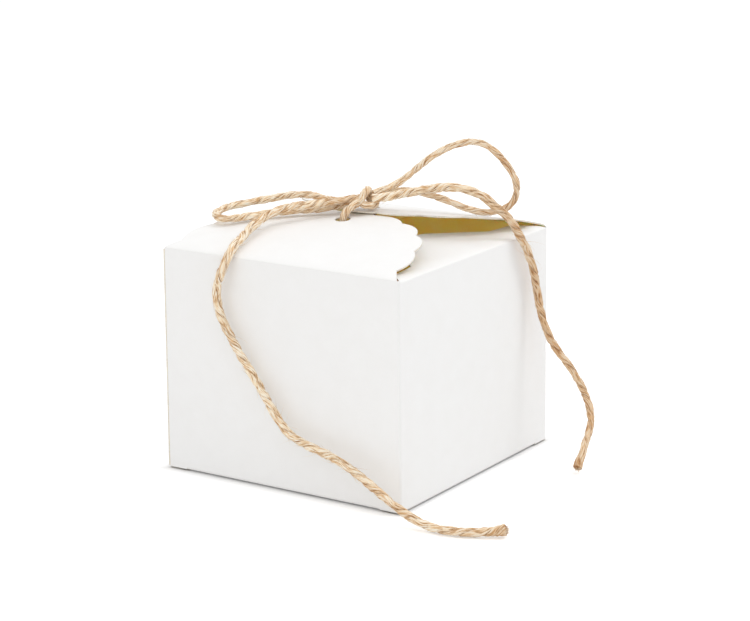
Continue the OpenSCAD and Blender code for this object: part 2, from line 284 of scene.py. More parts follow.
def white_room():
    """An even pale world that is pure white where it is seen directly."""
    world = bpy.data.worlds.new("white_room")
    bpy.context.scene.world = world
    world.use_nodes = True
    nodes, links = world.node_tree.nodes, world.node_tree.links
    nodes.clear()
    light = nodes.new("ShaderNodeBackground")
    light.inputs["Color"].default_value = (1, 1, 1, 1)
    light.inputs["Strength"].default_value = WORLD_LIGHT
    backdrop = nodes.new("ShaderNodeBackground")
    backdrop.inputs["Color"].default_value = (1, 1, 1, 1)
    backdrop.inputs["Strength"].default_value = 1.0
    mix = nodes.new("ShaderNodeMixShader")
    output = nodes.new("ShaderNodeOutputWorld")
    links.new(seen_directly(world.node_tree), mix.inputs["Fac"])
    links.new(light.outputs[0], mix.inputs[1])
    links.new(backdrop.outputs[0], mix.inputs[2])
    links.new(mix.outputs[0], output.inputs["Surface"])


def white_floor():
    """A pale floor that keeps shadows. Seen directly it is lifted to white, except close to the box's
    foot."""
    mesh = bpy.data.meshes.new("floor")
    corners = [(x * FLOOR_HALF, y * FLOOR_HALF, FLOOR_LEVEL) for x, y in ((-1, -1), (1, -1), (1, 1), (-1, 1))]
    mesh.from_pydata(corners, [], [(0, 1, 2, 3)])
    floor = bpy.data.objects.new("floor", mesh)
    bpy.context.scene.collection.objects.link(floor)
    material = bpy.data.materials.new("floor_white")
    material.use_nodes = True
    tree = material.node_tree
    nodes, links = tree.nodes, tree.links
    nodes.clear()
    paper = nodes.new("ShaderNodeBsdfDiffuse")
    paper.inputs["Color"].default_value = (0.9, 0.9, 0.9, 1)
    glow = nodes.new("ShaderNodeEmission")
    glow.inputs["Color"].default_value = (1, 1, 1, 1)
    place = node(nodes, "SeparateXYZ")
    links.new(object_place(tree), place.inputs[0])
    sideways, inwards = (math_of(tree, "ABSOLUTE", place.outputs[axis], 0.0) for axis in ("X", "Y"))
    from_middle = math_of(tree, "MAXIMUM", sideways, inwards)
    rising = ramp(tree, from_middle, HALF_W * MM, (HALF_W + FLOOR_LIFT_RUN) * MM, 0.0, FLOOR_LIFT)
    lift = math_of(tree, "MULTIPLY", seen_directly(tree), rising)
    both = nodes.new("ShaderNodeAddShader")
    output = nodes.new("ShaderNodeOutputMaterial")
    links.new(lift, glow.inputs["Strength"])
    links.new(paper.outputs[0], both.inputs[0])
    links.new(glow.outputs[0], both.inputs[1])
    links.new(both.outputs[0], output.inputs["Surface"])
    mesh.materials.append(material)


# Shader helpers and shared effects

def node(nodes, kind, **settings):
    made = nodes.new("ShaderNode" + kind)
    for key, value in settings.items():
        setattr(made, key, value)
    return made


def group_of(name, inputs, outputs):
    """An empty shader node group with the named sockets, and its two end nodes."""
    tree = bpy.data.node_groups.new(name, "ShaderNodeTree")
    for way, sockets in (("INPUT", inputs), ("OUTPUT", outputs)):
        for label, kind in sockets:
            tree.interface.new_socket(label, in_out=way, socket_type="NodeSocket" + kind)
    return tree, tree.nodes.new("NodeGroupInput"), tree.nodes.new("NodeGroupOutput")


def noise(tree, vector, scale, detail, rough):
    made = node(tree.nodes, "TexNoise")
    made.inputs["Scale"].default_value = scale
    made.inputs["Detail"].default_value = detail
    made.inputs["Roughness"].default_value = rough
    tree.links.new(vector, made.inputs["Vector"])
    return made.outputs["Fac"]


def ramp(tree, value, low, high, to_low=0.0, to_high=1.0):
    """value carried from low..high to to_low..to_high, clamped at both ends."""
    made = node(tree.nodes, "MapRange", clamp=True)
    for label, number in (("From Min", low), ("From Max", high), ("To Min", to_low), ("To Max", to_high)):
        made.inputs[label].default_value = number
    tree.links.new(value, made.inputs["Value"])
    return made.outputs["Result"]


def math_of(tree, operation, first, second):
    made = node(tree.nodes, "Math", operation=operation)
    for socket, value in zip(made.inputs, (first, second)):
        if isinstance(value, (int, float)):
            socket.default_value = value
        else:
            tree.links.new(value, socket)
    return made.outputs[0]


def mix_colour(tree, factor, first, second, blend="MIX"):
    made = node(tree.nodes, "Mix", data_type="RGBA", blend_type=blend)
    for label, value in (("Factor", factor), ("A", first), ("B", second)):
        socket = [s for s in made.inputs if s.name == label and s.enabled][0]
        if isinstance(value, tuple):
            socket.default_value = (*value, 1)
        else:
            tree.links.new(value, socket)
    return [s for s in made.outputs if s.enabled][0]


def stretched(tree, vector, scale):
    made = node(tree.nodes, "Mapping")
    made.inputs["Scale"].default_value = scale
    tree.links.new(vector, made.inputs["Vector"])
    return made.outputs["Vector"]


def card_fibre_group():
    """Paper fibre: a cloudy look-through, short fibres laid one way and the other, and a surface height."""
    tree, start, end = group_of("card_fibre", [("Place", "Vector")],
                                [("Cloud", "Float"), ("Fibres", "Float"), ("Height", "Float")])
    place = start.outputs["Place"]
    cloud = noise(tree, place, 160.0, 3.0, 0.55)
    upright = noise(tree, stretched(tree, place, (5200.0, 5200.0, 700.0)), 1.0, 2.0, 0.6)
    across = noise(tree, stretched(tree, place, (800.0, 800.0, 4600.0)), 1.0, 2.0, 0.6)
    fibres = math_of(tree, "MAXIMUM", ramp(tree, upright, 0.56, 0.74), ramp(tree, across, 0.56, 0.74))
    grain = noise(tree, place, 2600.0, 2.0, 0.5)
    height = math_of(tree, "ADD", math_of(tree, "MULTIPLY", fibres, 0.5), grain)
    for label, value in (("Cloud", cloud), ("Fibres", fibres), ("Height", height)):
        tree.links.new(value, end.inputs[label])
    return tree


def jute_group():
    """Jute fibre along a ply: fine and broad streaks that follow the lay, and the height of the fibres."""
    tree, start, end = group_of("jute_fibre", [("Lay", "Vector")],
                                [("Fine", "Float"), ("Broad", "Float"), ("Height", "Float")])
    lay = start.outputs["Lay"]
    fine = noise(tree, stretched(tree, lay, (2.4, 2.4, 320.0)), 1.0, 4.0, 0.62)
    broad = noise(tree, stretched(tree, lay, (1.1, 1.1, 160.0)), 1.0, 2.0, 0.5)
    height = math_of(tree, "ADD", fine, math_of(tree, "MULTIPLY", broad, 0.5))
    for label, value in (("Fine", fine), ("Broad", broad), ("Height", height)):
        tree.links.new(value, end.inputs[label])
    return tree


def new_material(name, roughness, specular):
    material = bpy.data.materials.new(name)
    material.use_nodes = True
    shader = material.node_tree.nodes["Principled BSDF"]
    shader.inputs["Roughness"].default_value = roughness
    shader.inputs["Specular IOR Level"].default_value = specular
    return material, material.node_tree, shader


def bumped(tree, shader, height, strength, distance):
    made = node(tree.nodes, "Bump")
    made.inputs["Strength"].default_value = strength
    made.inputs["Distance"].default_value = distance
    tree.links.new(height, made.inputs["Height"])
    tree.links.new(made.outputs["Normal"], shader.inputs["Normal"])


def place_group(tree, group, socket, vector):
    made = node(tree.nodes, "Group", node_tree=group)
    tree.links.new(vector, made.inputs[socket])
    return made.outputs


def object_place(tree):
    return node(tree.nodes, "TexCoord").outputs["Object"]


def attribute(tree, name, output):
    return node(tree.nodes, "Attribute", attribute_name=name).outputs[output]


def card_white(fibre):
    """Coated white face: faint cloudiness, hardly any fibre, and a rubbed grey line along the folds."""
    material, tree, shader = new_material("card_white", 0.5, 0.35)
    marks = place_group(tree, fibre, "Place", object_place(tree))
    sheet = mix_colour(tree, ramp(tree, marks["Cloud"], 0.3, 0.7), (0.885, 0.883, 0.877), (0.9, 0.9, 0.897))
    flecked = mix_colour(tree, math_of(tree, "MULTIPLY", marks["Fibres"], 0.12), sheet, (0.80, 0.78, 0.74))
    rubbed = math_of(tree, "MULTIPLY", attribute(tree, "fold", "Fac"), ramp(tree, marks["Cloud"], 0.35, 0.6))
    worn = mix_colour(tree, math_of(tree, "MULTIPLY", rubbed, 0.06), flecked, (0.70, 0.68, 0.64))
    tree.links.new(worn, shader.inputs["Base Color"])
    tree.links.new(ramp(tree, marks["Cloud"], 0.3, 0.7, 0.44, 0.56), shader.inputs["Roughness"])
    bumped(tree, shader, marks["Height"], 0.12, 0.00006)
    return material


def card_kraft(fibre):
    """Plain inner face: golden board with light fibres. Light scatters inside the thin board, so the inside
    of the closed box isn't dark."""
    material, tree, shader = new_material("card_kraft", 0.85, 0.2)
    shader.inputs["Subsurface Weight"].default_value = 1.0
    shader.inputs["Subsurface Radius"].default_value = (1.0, 0.65, 0.4)
    shader.inputs["Subsurface Scale"].default_value = 0.0018
    marks = place_group(tree, fibre, "Place", object_place(tree))
    sheet = mix_colour(tree, ramp(tree, marks["Cloud"], 0.3, 0.7), (0.93, 0.74, 0.47), (0.95, 0.80, 0.57))
    flecked = mix_colour(tree, math_of(tree, "MULTIPLY", marks["Fibres"], 0.5), sheet, (0.93, 0.86, 0.68))
    tree.links.new(flecked, shader.inputs["Base Color"])
    tree.links.new(ramp(tree, marks["Fibres"], 0.0, 1.0, 0.9, 0.75), shader.inputs["Roughness"])
    bumped(tree, shader, marks["Height"], 0.35, 0.00008)
    return material


def card_edge(fibre):
    """Die-cut edge: cream and brown layers of torn fibre under the white coat."""
    material, tree, shader = new_material("card_edge", 0.9, 0.15)
    marks = place_group(tree, fibre, "Place", object_place(tree))
    sheet = mix_colour(tree, ramp(tree, marks["Cloud"], 0.35, 0.65), (0.72, 0.66, 0.56), (0.84, 0.80, 0.72))
    flecked = mix_colour(tree, marks["Fibres"], sheet, (0.90, 0.87, 0.80))
    tree.links.new(flecked, shader.inputs["Base Color"])
    bumped(tree, shader, marks["Height"], 0.6, 0.0001)
    return material


def jute(fibre):
    """Twisted jute: pale fibres on the crowns of the plies, painted shade in the grooves between them and on
    a cut end, with a soft sheen. Along the length its colour goes from straw to tan, partly as a random tone
    and partly as painted shade."""
    material, tree, shader = new_material("jute", 0.8, 0.25)
    shader.inputs["Sheen Weight"].default_value = 0.25
    shader.inputs["Sheen Roughness"].default_value = 0.45
    marks = place_group(tree, fibre, "Lay", attribute(tree, "lay", "Vector"))
    depth = attribute(tree, "crown", "Fac")
    body = mix_colour(tree, ramp(tree, marks["Broad"], 0.36, 0.60), (0.78, 0.51, 0.27), (0.99, 0.83, 0.60))
    streaked = mix_colour(tree, ramp(tree, marks["Fine"], 0.50, 0.58), body, (0.99, 0.93, 0.80))
    lined = mix_colour(tree, ramp(tree, marks["Fine"], 0.46, 0.37), streaked, (0.46, 0.25, 0.11))
    # Painted shade: the colour darkens towards brown where the surface lies near the twine's middle, in the
    # grooves between the plies and on a cut end.
    open_groove_shade = ramp(tree, marks["Broad"], 0.60, 0.42, 0.15, 1.0)
    groove_shade = math_of(tree, "MULTIPLY", ramp(tree, depth, 0.86, 0.64), open_groove_shade)
    shaded = mix_colour(tree, groove_shade, lined, (0.36, 0.18, 0.07))
    # Partly random tone, partly painted shade: the colour is multiplied towards tan along each stretch.
    toned_and_shaded = mix_colour(tree, attribute(tree, "tone_and_shade", "Fac"), shaded, (0.72, 0.58, 0.46), "MULTIPLY")
    tree.links.new(toned_and_shaded, shader.inputs["Base Color"])
    bumped(tree, shader, marks["Height"], 0.7, 0.00025)
    return material


def loose_jute():
    """Single stray fibres: pale straw, a little darker from one fibre to the next."""
    material, tree, shader = new_material("loose_jute", 0.6, 0.3)
    shade = mix_colour(tree, attribute(tree, "shade", "Fac"), (0.90, 0.74, 0.52), (0.66, 0.44, 0.24))
    tree.links.new(shade, shader.inputs["Base Color"])
    return material


# Mesh helpers

def link_mesh(name, points, faces, materials, indices=None, attributes=()):
    """A new object at the origin from points in millimetres, with its faces, slots and point attributes."""
    mesh = bpy.data.meshes.new(name)
    mesh.from_pydata((np.asarray(points) * MM).tolist(), [], faces)
    for material in materials:
        mesh.materials.append(material)
    if indices is not None:
        mesh.polygons.foreach_set("material_index", np.asarray(indices, np.int32))
    mesh.polygons.foreach_set("use_smooth", np.ones(len(mesh.polygons), bool))
    for label, values in attributes:
        values = np.asarray(values, np.float32)
        kind, field = ("FLOAT_VECTOR", "vector") if values.ndim == 2 else ("FLOAT", "value")
        mesh.attributes.new(label, kind, "POINT").data.foreach_set(field, values.ravel())
    mesh.update()
    made = bpy.data.objects.new(name, mesh)
    bpy.context.scene.collection.objects.link(made)
    return made


def grid_quads(rows, columns, closed):
    """Corner indices of the cells of a grid of points, as an array of rows x cells x 4."""
    index = np.arange(rows * columns).reshape(rows, columns)
    beside = np.roll(index, -1, axis=1)
    cells = np.stack([index[:-1], beside[:-1], beside[1:], index[1:]], axis=-1)
    return cells if closed else cells[:, :-1]


def unit(vectors):
    return vectors / np.maximum(np.linalg.norm(vectors, axis=-1, keepdims=True), 1e-12)


def card_shell(name, cad_node, body, middle, normals, fold, closed=False, keep=None, bead=False):
    """A piece of board: its middle surface, a grid of points, offset by half the board along the normals to
    each side, with the cut edges closed. The sides are white outside, kraft inside and raw at the edges.
    A bead rounds the last row over as the half circle that a flap turns on."""
    rows, columns = middle.shape[:2]
    if body == "carton":
        middle = out_of_square(middle)
    outside = (middle + normals * BOARD / 2).reshape(-1, 3)
    inside = (middle - normals * BOARD / 2).reshape(-1, 3)
    points = [outside, inside]
    cells = grid_quads(rows, columns, closed)
    kept = np.ones(cells.shape[:2], bool) if keep is None else keep
    shift = len(outside)
    face = cells[kept]
    rims = []
    beyond = np.zeros_like(kept)
    lower = kept & ~np.vstack([beyond[:1], kept[:-1]])
    upper = kept & ~np.vstack([kept[1:], beyond[:1]])
    rims.append(cells[lower][:, [1, 0]])
    if bead:
        upper[-1] = False
    rims.append(cells[upper][:, [3, 2]])
    if not closed:
        left = kept & ~np.hstack([beyond[:, :1], kept[:, :-1]])
        right = kept & ~np.hstack([kept[:, 1:], beyond[:, :1]])
        rims.append(cells[left][:, [0, 3]])
        rims.append(cells[right][:, [2, 1]])
    rim = np.vstack(rims)
    rim = np.column_stack([rim, rim[:, ::-1] + shift])
    faces = [face, face[:, ::-1] + shift, rim]
    kinds = [np.zeros(len(face)), np.ones(len(face)), np.full(len(rim), 2)]
    folds = [fold.ravel(), fold.ravel()]
    if bead:
        turn = np.linspace(0, np.pi, 7)[1:-1, None, None]
        along = unit(middle[-1] - middle[-2])
        arc = middle[-1] + BOARD / 2 * (np.cos(turn) * normals[-1] + np.sin(turn) * along)
        ring = 2 * shift + np.arange(arc.shape[0] * columns).reshape(-1, columns)
        last = np.arange((rows - 1) * columns, rows * columns)
        strip = np.vstack([last, ring, last + shift])
        over = np.stack([strip[:-1, :-1], strip[:-1, 1:], strip[1:, 1:], strip[1:, :-1]], -1).reshape(-1, 4)
        points.append(arc.reshape(-1, 3))
        faces.append(over)
        kinds.append(np.zeros(len(over)))
        folds.append(np.ones(arc.shape[0] * columns))
        ends = [strip[:, 0][::-1].tolist(), strip[:, -1].tolist()]
    quads = np.vstack(faces).tolist()
    kinds = np.concatenate(kinds)
    if bead:
        quads += ends
        kinds = np.concatenate([kinds, [2, 2]])
    made = link_mesh(name, np.vstack(points), quads, CARD, kinds, [("fold", np.concatenate(folds))])
    split_at_edges(made)
    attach(made, body)
    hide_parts(cad_node)


def out_of_square(points):
    """The carton's foot spreads a little to the left: a shear that is nothing at the top and at the right."""
    x, z = points[..., 0], points[..., 2]
    spread = LEFT_LEAN * np.clip(0.5 - x / (2 * HALF_W), 0, 1) * np.clip(1 - z / DUST_HINGE_Z, 0, 1)
    return points - np.stack([spread, np.zeros_like(x), np.zeros_like(x)], axis=-1)


def split_at_edges(piece):
    """Keeps the cut edges crisp."""
    piece.data.set_sharp_from_angle(angle=math.radians(SHARP_ANGLE))


# Carton walls

def plan_strip(start, end, fold_at_end, fold_at_start, hem):
    """Points and outward normals along a wall in plan: a straight run with a quarter fold at its ends. The
    hem is the part of the run, from its middle, that a bottom flap hangs from. Points gather at its ends."""
    start, end = np.asarray(start, float), np.asarray(end, float)
    along = unit(end - start)
    outward = np.array([along[1], -along[0]])
    from_middle = start @ along, end @ along
    hem_ends = [hem[0] - HEM_CUT, hem[0], hem[1], hem[1] + HEM_CUT]
    station = np.unique(np.concatenate([np.linspace(*from_middle, 31), hem_ends]))
    run = start + along * (station - from_middle[0])[:, None]
    foot = np.where((station >= hem[0]) & (station <= hem[1]), EDGE_FOOT, CUT_FOOT)
    normals = np.repeat(outward[None], len(run), axis=0)
    corner = np.zeros(len(run), bool)
    quarter = np.linspace(0, np.pi / 2, 9)[1:, None]
    if fold_at_end:
        turned = np.cos(quarter) * outward + np.sin(quarter) * along
        arc = end - outward * (FOLD_R - BOARD / 2) + turned * (FOLD_R - BOARD / 2)
        run, normals = np.vstack([run, arc]), np.vstack([normals, turned])
        corner = np.concatenate([corner, np.ones(len(arc), bool)])
        foot = np.concatenate([foot, np.full(len(arc), CORNER_FOOT)])
    if fold_at_start:
        turned = np.cos(quarter[::-1]) * outward - np.sin(quarter[::-1]) * along
        arc = start - outward * (FOLD_R - BOARD / 2) + turned * (FOLD_R - BOARD / 2)
        run, normals = np.vstack([arc, run]), np.vstack([turned, normals])
        corner = np.concatenate([np.ones(len(arc), bool), corner])
        foot = np.concatenate([np.full(len(arc), CORNER_FOOT), foot])
    return run, normals, corner, foot


def carton_wall(name, cad_node, start, end, top, hem, fold_at_end, fold_at_start=False):
    """A wall: its plan strip carried up from its foot to its top crease. It bulges by a fraction of a
    millimetre, as sin(pi u) sin(pi v). A corner fold ends just under the closing flaps."""
    run, plan_normals, corner, foot = plan_strip(start, end, fold_at_end, fold_at_start, hem)
    head = np.where(corner, HINGE_Z - CORNER_DROP, top)
    height = np.concatenate([[0, 0.006, 0.015, 0.03], np.linspace(0.06, 0.94, 23), [0.97, 0.985, 0.994, 1]])
    z = foot + (head - foot) * height[:, None]
    middle = np.dstack([np.broadcast_to(run[:, 0], z.shape), np.broadcast_to(run[:, 1], z.shape), z])
    normals = np.zeros_like(middle)
    normals[..., :2] = plan_normals
    share = np.concatenate([[0], np.cumsum(np.linalg.norm(np.diff(run, axis=0), axis=1))])
    share = share / share[-1]
    bulge = WALL_BULGE * np.sin(np.pi * share)[None] * np.sin(np.pi * height)[:, None]
    middle = middle + normals * bulge[..., None]
    from_crease = np.minimum(z - foot, top - z)
    fold = np.maximum(np.exp(-from_crease / RUB_WALL), corner.astype(float)[None])
    card_shell(name, cad_node, "carton", middle, normals, fold, bead=True)


def carton_walls():
    mid = BOARD / 2
    inner = HALF_W - BOARD - FOLD_R
    flat_w, flat_d = HALF_W - FOLD_R, HALF_D - FOLD_R
    wide, narrow = flat_w - BOTTOM_GAP, flat_w - RAMP - BOTTOM_GAP
    carton_wall("front_wall_card", "front_wall", (-inner, -HALF_D + mid), (flat_w, -HALF_D + mid),
                HINGE_Z, (-narrow, narrow), True, True)
    carton_wall("right_wall_card", "right_wall", (HALF_W - mid, -flat_d), (HALF_W - mid, flat_d),
                DUST_HINGE_Z, (-wide, narrow), True)
    carton_wall("rear_wall_card", "rear_wall", (flat_w, HALF_D - mid), (-flat_w, HALF_D - mid),
                HINGE_Z, (-wide, wide), True)
    carton_wall("left_wall_card", "left_wall", (-HALF_W + mid, flat_d),
                (-HALF_W + mid, -HALF_D + SEAM_SETBACK), DUST_HINGE_Z, (-narrow, wide), False)


def glue_tab():
    """A flat strip behind the left wall, its two ends slanted."""
    across = np.linspace(0, 1, 9)
    low = TAB_MARGIN + TAB_SLANT * across
    high = DUST_HINGE_Z - TAB_MARGIN - TAB_SLANT * across
    height = np.linspace(0, 1, 25)[:, None]
    z = low + (high - low) * height
    y = np.broadcast_to(-HALF_D + FOLD_R + TAB_W * across, z.shape)
    middle = np.dstack([np.full(z.shape, -HALF_W + BOARD * 1.5), y, z])[:, ::-1]
    normals = np.broadcast_to([-1.0, 0, 0], middle.shape)
    card_shell("glue_tab_card", "glue_tab", "carton", middle, normals, np.zeros(z.shape))


# Closing flaps

def scalloped_edge(reach, count):
    """The flap's outline: straight shoulders, then arcs of scallop_rise over the chords of a half ellipse."""
    angle = np.linspace(0, np.pi, SCALLOPS + 1)
    cusp = np.column_stack([(HALF_W - SHOULDER_INSET) * np.cos(angle),
                            SHOULDER + (reach - SHOULDER - SCALLOP_RISE) * np.sin(angle)])
    chord = np.diff(cusp, axis=0)
    length = np.linalg.norm(chord, axis=1)
    radius = (length ** 2 / 4 + SCALLOP_RISE ** 2) / (2 * SCALLOP_RISE)
    outward = np.column_stack([chord[:, 1], -chord[:, 0]]) / length[:, None]
    centre = (cusp[:-1] + cusp[1:]) / 2 + outward * (SCALLOP_RISE - radius)[:, None]
    half = np.arcsin(length / 2 / radius)
    turn = half[:, None] * np.linspace(-1, 1, count, endpoint=False)
    across = chord / length[:, None]
    arcs = centre[:, None] + radius[:, None, None] * (
        np.cos(turn)[..., None] * outward[:, None] + np.sin(turn)[..., None] * across[:, None])
    root = HALF_W - FOLD_R
    share = np.linspace(0, 1, count, endpoint=False)[:, None]
    right = np.array([root, 0]) + (cusp[0] - (root, 0)) * share
    left = cusp[-1] + (np.array([-root, 0]) - cusp[-1]) * share
    along = np.linspace(0, 1, 4 * count, endpoint=False)[:, None]
    base = np.array([-root, 0]) + np.array([2 * root, 0]) * along
    return np.vstack([right, arcs.reshape(-1, 2), left, base])


def closing_flap(name, cad_node, tilt, turn):
    """A bowed sheet between its twine hole and its scalloped edge: rings that pass from the one to the other.
    Height over the chord is that of a circle of bow_r, and the root lifts off the crease in a soft round."""
    slope = math.radians(tilt)
    chord = HINGE_Y / math.cos(slope)
    reach = (HINGE_Y + TIP_LAP) / math.cos(slope)
    bow_r = (chord ** 2 / 4 + FLAP_BOW ** 2) / (2 * FLAP_BOW)
    hole = np.array([0, (HINGE_Y - HOLE_FROM_MIDDLE) / math.cos(slope)])
    edge = scalloped_edge(reach, SCALLOP_POINTS)
    spoke = unit(edge - hole)
    share = np.concatenate([[0, 0.01, 0.03], np.linspace(0.07, 0.93, 34), [0.96, 0.98, 0.992, 1]])
    rim = hole + spoke * HOLE_D / 2
    flat = rim + (edge - rim) * share[:, None, None]
    x, y = flat[..., 0], flat[..., 1]

    def height(y):
        bow = np.sqrt(bow_r ** 2 - (y - chord / 2) ** 2) - (bow_r - FLAP_BOW)
        return bow + FLAP_ROUND * (1 - np.exp(-y / FLAP_ROUND_RUN)) * (1 - y / reach)

    z = height(y)
    rise = (height(y + SLOPE_STEP) - height(y - SLOPE_STEP)) / (2 * SLOPE_STEP)
    middle = np.dstack([x, y, z])
    normals = unit(np.dstack([np.zeros_like(x), -rise, np.ones_like(x)]))
    swing = np.array([[1, 0, 0],
                      [0, math.cos(slope), -math.sin(slope)],
                      [0, math.sin(slope), math.cos(slope)]])
    middle = middle @ swing.T + (0, -HINGE_Y, HINGE_Z)
    normals = normals @ swing.T
    sides = np.array([turn, turn, 1])
    fold = np.exp(-y / RUB_FLAP)
    card_shell(name, cad_node, cad_node, middle * sides, normals * sides, fold, closed=True)


# Dust flaps

def dust_side(shoulder):
    """One side of a dust flap: its distance from the flap's middle line against its reach. It leans in to the
    shoulder, follows that, slants to the nose and turns its rounded corner."""
    root = HALF_D - DUST_SETBACK
    end = root - shoulder * math.tan(math.radians(DUST_SIDE_ANGLE))
    inner = np.array([end - DUST_SHOULDER_W, shoulder + DUST_SHOULDER_RISE])
    nose = np.array([DUST_NOSE_W / 2, DUST_REACH])
    to_inner, to_end = unit(inner - nose), np.array([-1.0, 0])
    half = math.acos(to_inner @ to_end) / 2
    centre = nose + unit(to_inner + to_end) * DUST_NOSE_R / math.sin(half)
    first = nose + to_inner * DUST_NOSE_R / math.tan(half) - centre
    turn = np.linspace(0, math.pi - 2 * half, 13)[:, None]
    arc = centre + np.cos(turn) * first + np.sin(turn) * np.array([-first[1], first[0]])
    return np.vstack([[root, 0], [end, shoulder], inner, arc])


def dust_flap(name, cad_node, side):
    """A flat flap between its rear and front sides: rows across it at the reach of every corner and between.
    Its root lifts off the crease in a soft round."""
    rear, front = dust_side(REAR_SHOULDER), dust_side(FRONT_SHOULDER)
    near_crease = [0.2, 0.5, 1, 1.6, 2.4, 3.6]
    reach = np.unique(np.concatenate([rear[:, 1], front[:, 1], near_crease, np.arange(8, 24, 2.0)]))
    to_rear = np.interp(reach, rear[:, 1], rear[:, 0])
    to_front = np.interp(reach, front[:, 1], front[:, 0])
    across = np.linspace(0, 1, 41)
    y = -to_front[:, None] + (to_front + to_rear)[:, None] * across
    v = np.broadcast_to(reach[:, None], y.shape)
    lift = DUST_ROUND * (1 - np.exp(-v / DUST_ROUND_RUN)) * (1 - v / DUST_REACH)
    slope = math.radians(DUST_TILT)
    inward = v * math.cos(slope) - lift * math.sin(slope)
    rise = v * math.sin(slope) + lift * math.cos(slope)
    middle = np.dstack([side * (DUST_HINGE_X - inward), y, DUST_HINGE_Z + rise])
    steep = DUST_ROUND / DUST_ROUND_RUN * np.exp(-v / DUST_ROUND_RUN) - lift / DUST_REACH
    lean = slope + np.arctan(steep)
    normals = np.dstack([side * np.sin(lean), np.zeros_like(y), np.cos(lean)])
    if side < 0:
        middle, normals = middle[:, ::-1], normals[:, ::-1]
    card_shell(name, cad_node, cad_node, middle, normals, np.exp(-v / RUB_FLAP))


# Snap-lock bottom

def bottom_rows(layer, reach):
    """Distance from the wall's face and height of a bottom flap's middle line: a tight crease that stands a
    little off the floor, a ramp, and its own layer."""
    turn = np.linspace(0, np.pi / 2, 7)
    fold = np.column_stack([BOARD / 2 + CREASE_R * (1 - np.cos(turn)), EDGE_FOOT - CREASE_R * np.sin(turn)])
    flat = layer * BOARD + BOARD / 2
    run = np.linspace(0, 1, 9)[1:]
    ease = run * run * (3 - 2 * run)
    near, low = fold[-1]
    climb = np.column_stack([near + (FOLD_R + RAMP - near) * run, low + (flat - low) * ease])
    rest = np.linspace(FOLD_R + RAMP, reach, 12)[1:]
    return np.vstack([fold, climb, np.column_stack([rest, np.full(len(rest), flat)])])


def bottom_flap(name, cad_node, rows, widths, facing):
    """Rows parallel to the wall, each from its left to its right width, turned to face the box's middle."""
    left, right = widths
    across = np.linspace(0, 1, 31)
    u = left[:, None] + (right - left)[:, None] * across
    v = np.broadcast_to(rows[:, :1], u.shape)
    z = np.broadcast_to(rows[:, 1:], u.shape)
    wall = HALF_D if facing in ("front", "rear") else HALF_W
    places = {"front": (u, v - wall), "rear": (-u, wall - v), "right": (wall - v, u), "left": (v - wall, -u)}
    x, y = places[facing]
    middle = np.dstack([x, y, z])
    normals = unit(np.cross(np.gradient(middle, axis=0), np.gradient(middle, axis=1)))
    card_shell(name, cad_node, "carton", middle, normals, np.exp(-v / RUB_BOTTOM))


def snap_lock_bottom():
    """The four flaps of the bottom: the slotted one lies on the side flaps, and the tongue over its edge."""
    side_rows = bottom_rows(1, SIDE_REACH)
    taper = BOTTOM_TAPER * side_rows[:, 0] / SIDE_REACH
    to_front = HALF_D - FOLD_R - BOTTOM_GAP - taper
    to_rear = HALF_D - FOLD_R - RAMP - BOTTOM_GAP - taper
    bottom_flap("bottom_right_card", "bottom_right_flap", side_rows, (-to_front, to_rear), "right")
    bottom_flap("bottom_left_card", "bottom_left_flap", side_rows, (-to_rear, to_front), "left")
    plain = bottom_rows(0, FRONT_REACH)
    half = HALF_W - FOLD_R - RAMP - BOTTOM_GAP - BOTTOM_TAPER * plain[:, 0] / FRONT_REACH
    seat = 2 * HALF_D - SLOT_REACH - BOTTOM_GAP
    tip = 2 * HALF_D - SLOT_REACH + TONGUE_GRIP
    top = 3 * BOARD + BOARD / 2
    tongue = np.array([[FRONT_REACH + TONGUE_STEP, BOARD / 2], [seat, top],
                       [tip - TONGUE_CORNER, top], [tip, top]])
    rows = np.vstack([plain, tongue])
    width = np.concatenate([half, np.full(3, TONGUE_W / 2), [TONGUE_W / 2 - TONGUE_CORNER]])
    bottom_flap("bottom_front_card", "bottom_front_flap", rows, (-width, width), "front")
    rear = bottom_rows(2, LOBE_REACH)
    rear = np.insert(rear, np.searchsorted(rear[:, 0], SLOT_REACH), [SLOT_REACH, rear[-1, 1]], axis=0)
    rear_lobes(rear)


def rear_lobes(rows):
    """The slotted flap: columns gather at the slot's two edges, and the cells inside the slot are left
    out."""
    outer = HALF_W - FOLD_R - BOTTOM_GAP - BOTTOM_TAPER * rows[:, 0] / LOBE_REACH
    past = np.clip((rows[:, 0] - SLOT_REACH) / (LOBE_REACH - SLOT_REACH), 0, 1)
    slot = TONGUE_W / 2 + BOTTOM_GAP + BOTTOM_TAPER * past
    lobe = np.linspace(0, 1, 9)
    right = slot[:, None] + (outer - slot)[:, None] * lobe
    centre = slot[:, None] * np.linspace(-1, 1, 15)[1:-1]
    u = np.hstack([-right[:, ::-1], centre, right])
    v = np.broadcast_to(rows[:, :1], u.shape)
    z = np.broadcast_to(rows[:, 1:], u.shape)
    middle = np.dstack([-u, HALF_D - v, z])
    normals = unit(np.cross(np.gradient(middle, axis=0), np.gradient(middle, axis=1)))
    keep = np.ones((u.shape[0] - 1, u.shape[1] - 1), bool)
    column = np.arange(u.shape[1] - 1)
    inside = (column >= len(lobe) - 1) & (column < u.shape[1] - len(lobe))
    keep[(rows[:-1, 0] >= SLOT_REACH - 1e-6)[:, None] & inside[None]] = False
    card_shell("bottom_rear_card", "bottom_rear_flap", "carton", middle, normals, np.exp(-v / RUB_BOTTOM),
               keep=keep)


# Twine

